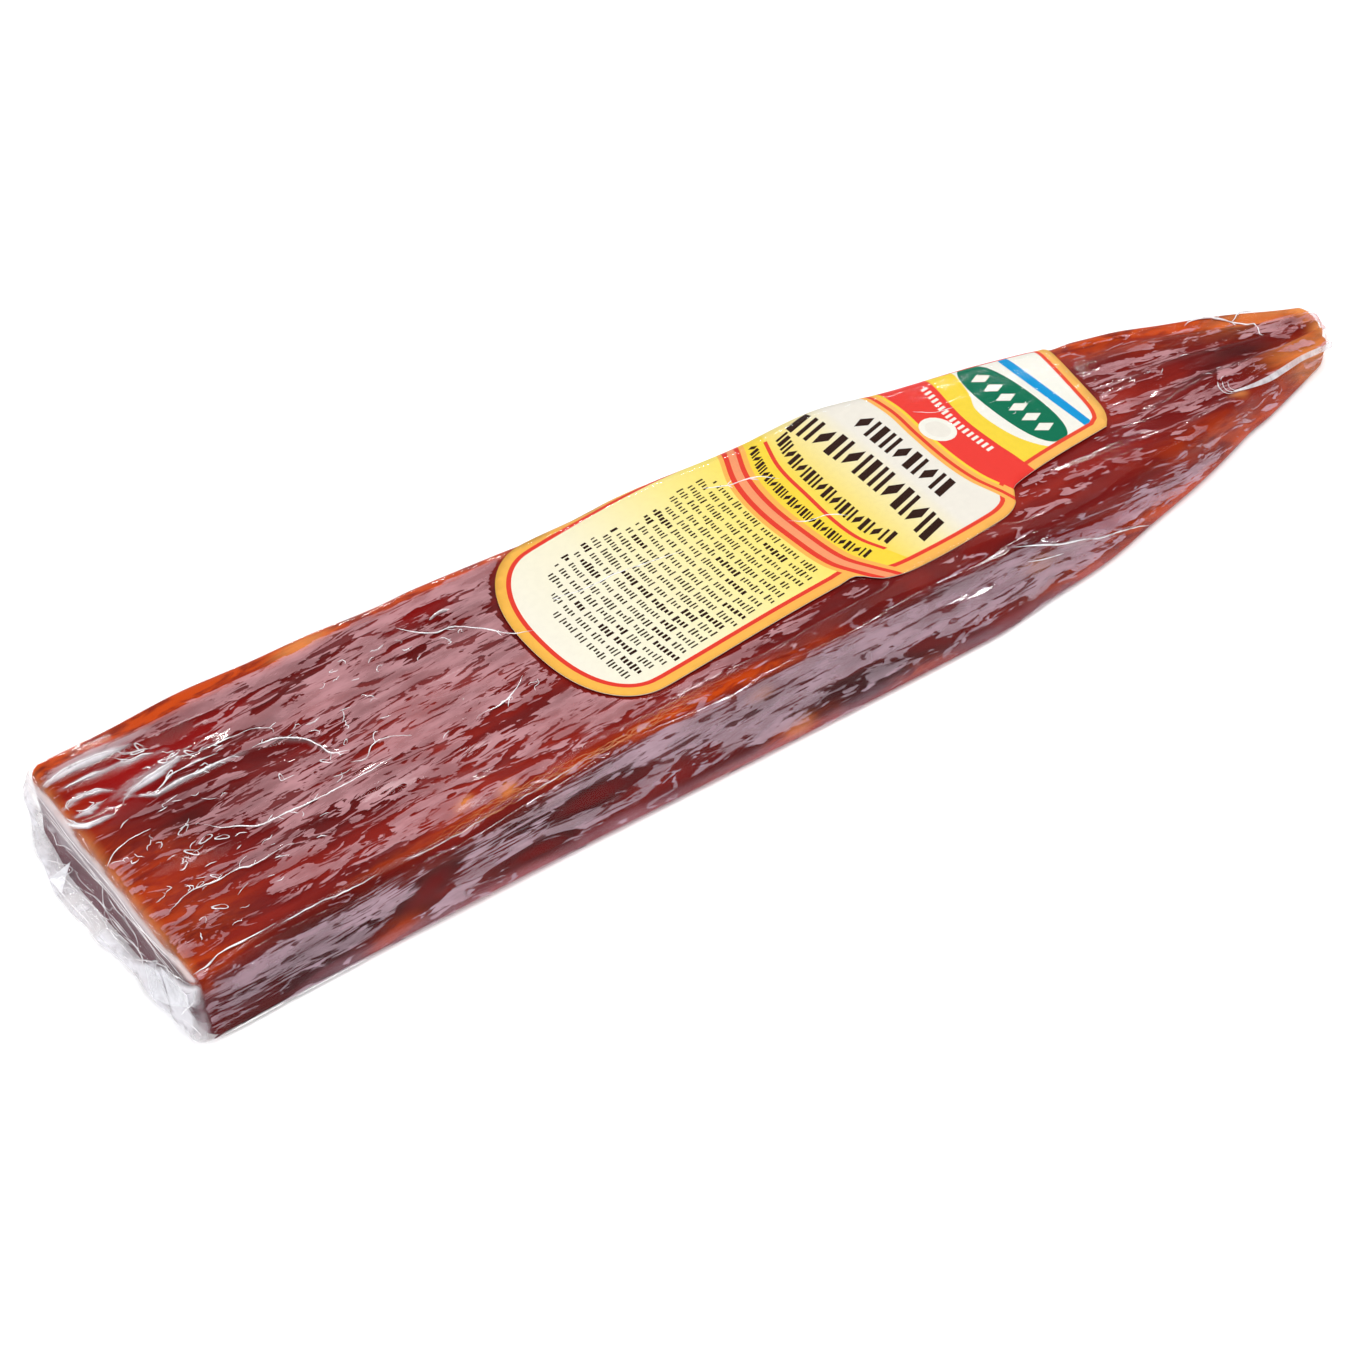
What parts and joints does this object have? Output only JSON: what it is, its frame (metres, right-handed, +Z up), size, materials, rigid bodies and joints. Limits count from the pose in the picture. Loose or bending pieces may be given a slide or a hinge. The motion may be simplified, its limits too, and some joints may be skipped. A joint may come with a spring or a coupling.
{
  "type": "vacuum-packed cured poultry fillet",
  "caption": "Flat bar of cured poultry fillet sealed in clear shrunk film, cut square at one end and tapered to a blunt tip at the other, with a shaped paper label on its top.",
  "frame": {"origin": "middle of the bounding box, on the surface that the bar lies on", "axes": "+X along the bar from its cut end to its tip, +Y across it to the side away from the viewer, +Z up through the label"},
  "size_m": [0.3016, 0.0664, 0.0217],
  "materials": {
    "sealed_meat": "dark red cured meat seen through tight glossy clear film",
    "label_paper": "smooth printed paper under the film, in cream, yellow, orange, red, white and green"
  },
  "bodies": {
    "root": {"sealed_pack": "sealed_meat", "label": "label_paper"}
  },
  "joints": []
}
